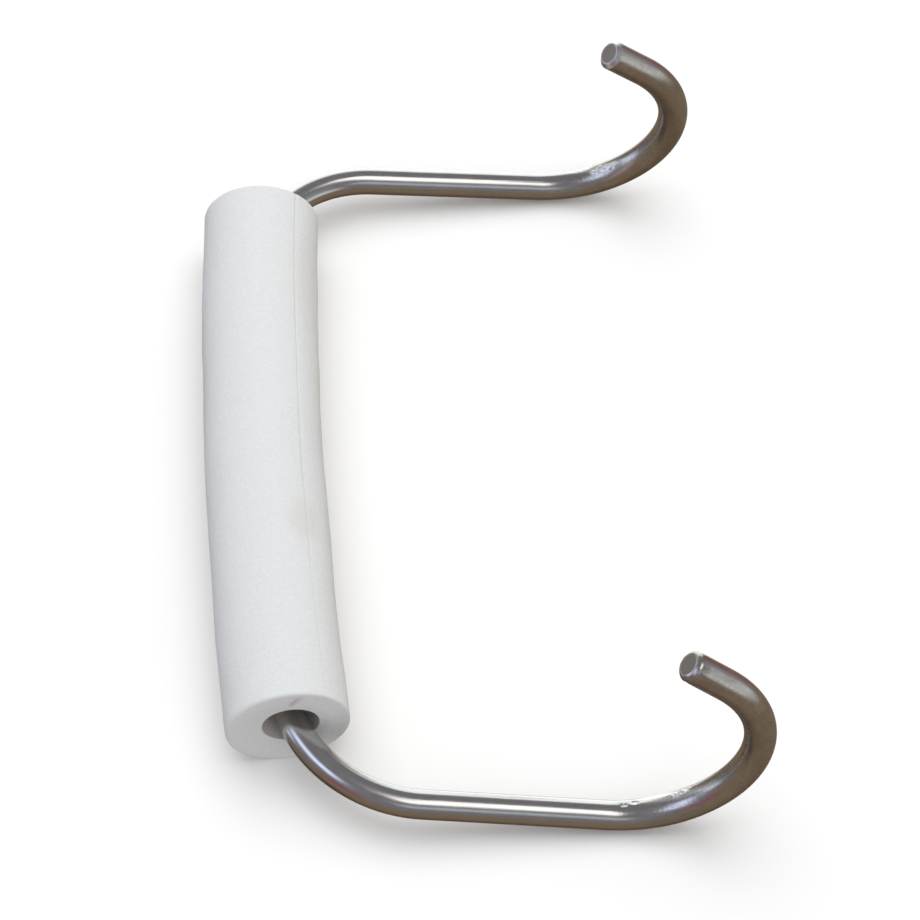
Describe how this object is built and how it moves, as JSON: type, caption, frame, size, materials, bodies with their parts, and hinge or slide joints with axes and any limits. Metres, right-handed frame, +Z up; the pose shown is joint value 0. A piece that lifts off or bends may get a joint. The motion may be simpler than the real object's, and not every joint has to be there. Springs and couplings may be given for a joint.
{
  "type": "sock aid",
  "caption": "Hand-held sock aid: a bent round steel bar with a loose foam sleeve on its straight base and arms that end in open hooks curled up and back.",
  "frame": {"origin": "on the ground, under the middle of the bounding box, as the aid lies on its foam sleeve and both hooks", "axes": "+Z up; Y along the grip, with the aid the same on both sides of Y = 0; +X from the grip toward the hooks"},
  "size_m": [0.1398, 0.2158, 0.0724],
  "materials": {
    "bar": "satin, drawn along the arms and duller on the bent hooks",
    "foam": "matte, fine closed-cell foam skin"
  },
  "bodies": {
    "frame": {"bent_frame": "bar"},
    "grip": {"foam_grip": "foam"}
  },
  "joints": [
    {"name": "grip_spin", "type": "hinge", "parent": "frame", "child": "grip", "pos_m": [-0.05094, 0, 0.016], "axis": [0, 1, 0], "continuous": true}
  ]
}
